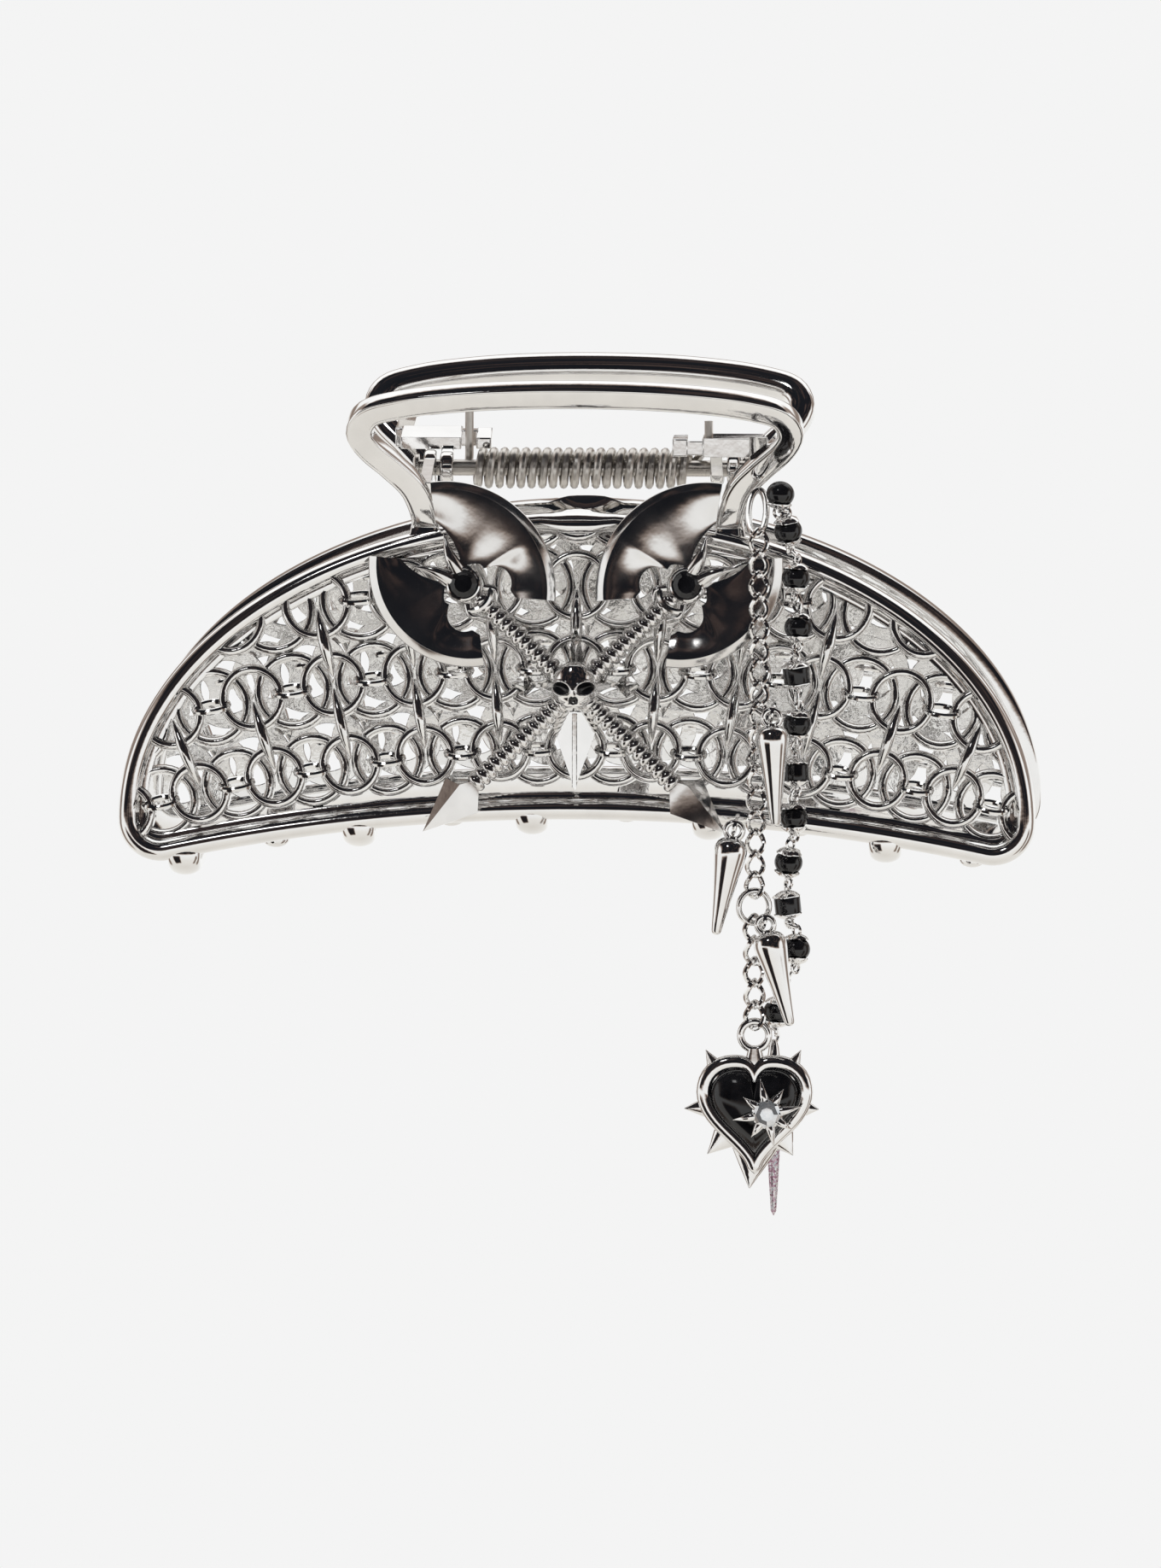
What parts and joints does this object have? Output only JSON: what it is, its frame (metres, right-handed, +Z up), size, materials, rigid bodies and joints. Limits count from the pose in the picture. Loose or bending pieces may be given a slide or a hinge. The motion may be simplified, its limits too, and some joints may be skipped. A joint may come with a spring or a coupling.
{
  "type": "claw hair clip",
  "caption": "Large metal claw hair clip with half-moon openwork jaws, crossed axes, a small skull, and a chain and a bead strand hanging from the handle.",
  "frame": {"origin": "middle of the hair space between the closed jaws, 24 mm straight below the hinge pin's axis", "axes": "+X along the clip and its hinge pin, towards the hanging strands; -Y out of the front jaw, which carries the ornaments; +Z up, from the teeth to the handles"},
  "size_m": [0.1076, 0.0506, 0.098],
  "materials": {
    "chrome": "polished dark chrome plating",
    "steel": "bright drawn spring steel",
    "black_gloss": "black glossy acrylic",
    "clear_stone": "faceted clear stone",
    "glitter": "pink and silver glitter enamel"
  },
  "bodies": {
    "back_jaw": {"back_frame": "chrome", "back_mail_panel": "chrome", "back_handle": "chrome", "back_pivot_lug": "chrome", "back_spring_arm": "chrome", "back_tooth_1": "chrome", "back_tooth_2": "chrome", "back_tooth_3": "chrome", "back_tooth_4": "chrome", "back_tooth_5": "chrome", "hinge_pin": "steel", "torsion_spring": "steel"},
    "front_jaw": {"front_frame": "chrome", "front_mail_panel": "chrome", "front_handle": "chrome", "front_pivot_lug": "chrome", "front_spring_arm": "chrome", "front_tooth_1": "chrome", "front_tooth_2": "chrome", "front_tooth_3": "chrome", "front_tooth_4": "chrome", "front_tooth_5": "chrome", "axe_left": "chrome", "axe_right": "chrome", "axe_gem_left": "black_gloss", "axe_gem_right": "black_gloss", "star_plate": "chrome", "skull": "chrome"},
    "anchor": {"anchor_ring": "chrome"},
    "chain_1": {"chain_run_1": "chrome"},
    "chain_2": {"chain_run_2": "chrome"},
    "chain_3": {"chain_run_3": "chrome"},
    "chain_4": {"chain_run_4": "chrome"},
    "jump": {"jump_ring": "chrome"},
    "chain_5": {"chain_run_lower": "chrome"},
    "spike_1": {"spike_1": "chrome"},
    "spike_2": {"spike_2": "chrome"},
    "spike_3": {"spike_3": "chrome"},
    "heart": {"heart_bezel": "chrome", "heart_stone": "black_gloss", "star_setting": "chrome", "rhinestone": "clear_stone"},
    "beads_1": {"bead_1": "black_gloss", "bead_2": "black_gloss"},
    "beads_2": {"bead_3": "black_gloss", "bead_4": "black_gloss"},
    "beads_3": {"bead_5": "black_gloss", "bead_6": "black_gloss"},
    "beads_4": {"bead_7": "black_gloss", "bead_8": "black_gloss"},
    "beads_5": {"bead_9": "black_gloss", "bead_10": "black_gloss"},
    "beads_6": {"bead_11": "black_gloss", "bead_12": "black_gloss"},
    "glitter": {"glitter_spike": "glitter"}
  },
  "joints": [
    {"name": "jaw_hinge", "type": "hinge", "parent": "back_jaw", "child": "front_jaw", "pos_m": [0, 0, 0.024], "axis": [-1, 0, 0], "range_deg": [0, 50], "stiffness_Nm_per_rad": 0.12, "springref_deg": -68.75, "deforming": ["torsion_spring"]},
    {"name": "anchor_swing", "type": "hinge", "parent": "front_jaw", "child": "anchor", "pos_m": [0.0214, -0.0149, 0.0228], "axis": [-1, 0, 0], "range_deg": [0, 40]},
    {"name": "chain_1_swing", "type": "hinge", "parent": "anchor", "child": "chain_1", "pos_m": [0.0217, -0.0221, 0.0187], "axis": [0, -1, 0], "range_deg": [-12, 12]},
    {"name": "chain_2_swing", "type": "hinge", "parent": "chain_1", "child": "chain_2", "pos_m": [0.0218, -0.0221, 0.006], "axis": [0, -1, 0], "range_deg": [-12, 12]},
    {"name": "chain_3_swing", "type": "hinge", "parent": "chain_2", "child": "chain_3", "pos_m": [0.02175, -0.0221, -0.004], "axis": [0, -1, 0], "range_deg": [-12, 12]},
    {"name": "chain_4_swing", "type": "hinge", "parent": "chain_3", "child": "chain_4", "pos_m": [0.02145, -0.0221, -0.014], "axis": [0, -1, 0], "range_deg": [-12, 12]},
    {"name": "jump_swing", "type": "hinge", "parent": "chain_4", "child": "jump", "pos_m": [0.02125, -0.0221, -0.024], "axis": [0, -1, 0], "range_deg": [-12, 12]},
    {"name": "chain_5_swing", "type": "hinge", "parent": "jump", "child": "chain_5", "pos_m": [0.0212, -0.0221, -0.0266], "axis": [0, -1, 0], "range_deg": [-12, 12]},
    {"name": "heart_swing", "type": "hinge", "parent": "chain_5", "child": "heart", "pos_m": [0.0213, -0.0221, -0.0393], "axis": [0, -1, 0], "range_deg": [-15, 15]},
    {"name": "spike_1_swing", "type": "hinge", "parent": "chain_2", "child": "spike_1", "pos_m": [0.0234, -0.0256, -0.0025], "axis": [0, -1, 0], "range_deg": [-5, 25]},
    {"name": "spike_2_swing", "type": "hinge", "parent": "chain_4", "child": "spike_2", "pos_m": [0.0191, -0.0256, -0.0157], "axis": [0, 1, 0], "range_deg": [0, 25]},
    {"name": "spike_3_swing", "type": "hinge", "parent": "jump", "child": "spike_3", "pos_m": [0.0226, -0.0256, -0.0267], "axis": [0, -1, 0], "range_deg": [0, 25]},
    {"name": "beads_1_swing", "type": "hinge", "parent": "anchor", "child": "beads_1", "pos_m": [0.0238, -0.0189, 0.0247], "axis": [0, -1, 0], "range_deg": [-3, 15]},
    {"name": "beads_2_swing", "type": "hinge", "parent": "beads_1", "child": "beads_2", "pos_m": [0.02545, -0.0189, 0.01565], "axis": [0, -1, 0], "range_deg": [-3, 15]},
    {"name": "beads_3_swing", "type": "hinge", "parent": "beads_2", "child": "beads_3", "pos_m": [0.0261, -0.0189, 0.00435], "axis": [0, -1, 0], "range_deg": [-3, 15]},
    {"name": "beads_4_swing", "type": "hinge", "parent": "beads_3", "child": "beads_4", "pos_m": [0.026, -0.0189, -0.00705], "axis": [0, -1, 0], "range_deg": [-3, 15]},
    {"name": "beads_5_swing", "type": "hinge", "parent": "beads_4", "child": "beads_5", "pos_m": [0.0254, -0.0189, -0.0178], "axis": [0, -1, 0], "range_deg": [-3, 15]},
    {"name": "beads_6_swing", "type": "hinge", "parent": "beads_5", "child": "beads_6", "pos_m": [0.0255, -0.0189, -0.028], "axis": [0, -1, 0], "range_deg": [-3, 15]},
    {"name": "glitter_swing", "type": "hinge", "parent": "beads_6", "child": "glitter", "pos_m": [0.0235, -0.0189, -0.0406], "axis": [0, -1, 0], "range_deg": [-3, 15]}
  ]
}
